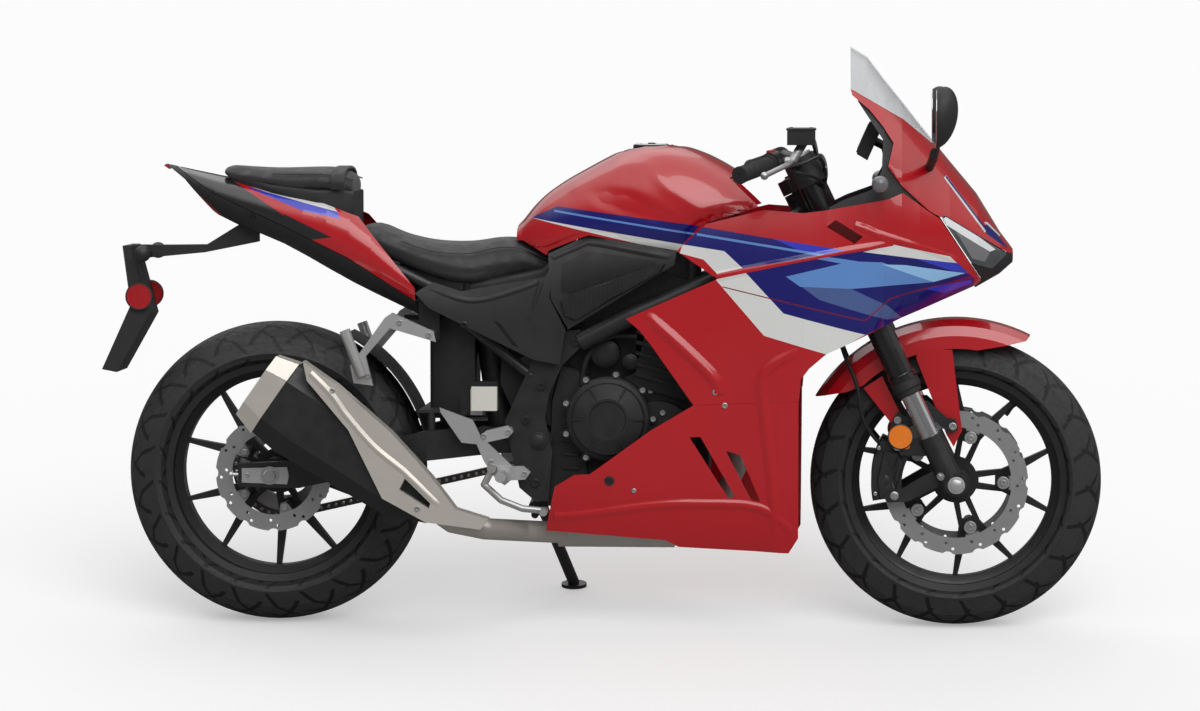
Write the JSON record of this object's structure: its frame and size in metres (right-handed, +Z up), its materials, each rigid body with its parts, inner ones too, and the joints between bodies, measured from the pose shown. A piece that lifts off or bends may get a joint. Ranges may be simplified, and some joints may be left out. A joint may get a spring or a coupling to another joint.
{
  "type": "sport motorcycle",
  "caption": "Fully faired road sport motorcycle parked on its side stand, with turning wheels, steering, stand and fuel lid.",
  "frame": {"origin": "on the ground, below the middle of the parked bike's outline", "axes": "+X forward, +Y to the rider's left, +Z up; the bike leans to the left on its side stand"},
  "size_m": [2.071, 0.783, 1.181],
  "materials": {
    "amber_lens": "glossy",
    "bare_steel": "satin",
    "black_paint": "satin",
    "black_plastic": "satin",
    "chrome_tube": "polished",
    "clear_screen": "clear",
    "dark_alloy": "satin",
    "dark_steel": "satin",
    "disc_steel": "satin",
    "exhaust_steel": "satin",
    "lamp_lens": "clear",
    "red_lens": "glossy",
    "red_paint": "glossy",
    "seat_cover": "matte",
    "silver_alloy": "satin",
    "soft_rubber": "matte",
    "tyre_rubber": "matte"
  },
  "bodies": {
    "chassis": {"frame": "black_paint", "swingarm": "black_paint", "pivot_bolt": "bare_steel", "rear_axle": "bare_steel", "rear_spacers": "bare_steel", "rear_caliper": "dark_alloy", "chain": "dark_steel", "engine": "dark_alloy", "engine_covers": "dark_alloy", "radiator": "black_paint", "exhaust_pipes": "exhaust_steel", "muffler_can": "black_paint", "muffler_cap": "exhaust_steel", "muffler_shield": "exhaust_steel", "side_fairings": "red_paint", "belly_pans": "red_paint", "upper_cowl": "red_paint", "headlamps": "lamp_lens", "windscreen": "clear_screen", "inner_panels": "black_plastic", "fuel_tank": "red_paint", "lid_pin": "bare_steel", "seat_rider": "seat_cover", "seat_pillion": "seat_cover", "tail_cowl": "black_plastic", "tail_panels": "red_paint", "air_covers": "black_plastic", "side_covers": "black_plastic", "mirrors": "black_plastic", "plate_holder": "black_plastic", "front_indicators": "amber_lens", "rider_pegs": "silver_alloy", "pillion_pegs": "silver_alloy", "foot_controls": "silver_alloy", "rear_shock": "black_paint", "dash": "black_plastic", "tail_lamp": "red_lens", "hugger": "black_plastic", "stand_bolt": "bare_steel"},
    "steering": {"fork_uppers": "black_paint", "fork_sliders": "chrome_tube", "fork_feet": "black_paint", "triple_clamps": "black_paint", "handlebars": "black_paint", "grips": "soft_rubber", "bar_controls": "black_plastic", "front_calipers": "dark_alloy", "front_fender": "red_paint", "front_axle": "bare_steel", "brake_hoses": "soft_rubber", "front_reflectors": "amber_lens"},
    "front_wheel": {"front_tyre": "tyre_rubber", "front_rim": "black_paint", "front_discs": "disc_steel"},
    "rear_wheel": {"rear_tyre": "tyre_rubber", "rear_rim": "black_paint", "rear_disc": "disc_steel", "rear_sprocket": "dark_steel"},
    "side_stand": {"side_stand": "black_paint"},
    "fuel_lid": {"fuel_lid": "black_paint"}
  },
  "joints": [
    {"name": "steering_turn", "type": "hinge", "parent": "chassis", "child": "steering", "pos_m": [0.44203, -0.01558, 0.81978], "axis": [-0.4305, 0.1412, 0.8915], "range_deg": [-33, 33]},
    {"name": "front_wheel_spin", "type": "hinge", "parent": "steering", "child": "front_wheel", "pos_m": [0.73547, -0.09838, 0.29705], "axis": [0, 0.9877, -0.1564], "continuous": true},
    {"name": "rear_wheel_spin", "type": "hinge", "parent": "chassis", "child": "rear_wheel", "pos_m": [-0.67447, -0.09645, 0.30917], "axis": [0, 0.9877, -0.1564], "continuous": true},
    {"name": "stand_fold", "type": "hinge", "parent": "chassis", "child": "side_stand", "pos_m": [-0.13647, 0.01792, 0.21307], "axis": [0.2189, 0.8539, 0.4722], "range_deg": [0, 108]},
    {"name": "lid_open", "type": "hinge", "parent": "chassis", "child": "fuel_lid", "pos_m": [0.14753, 0.00929, 0.97682], "axis": [0, 0.9877, -0.1564], "range_deg": [0, 90]}
  ]
}
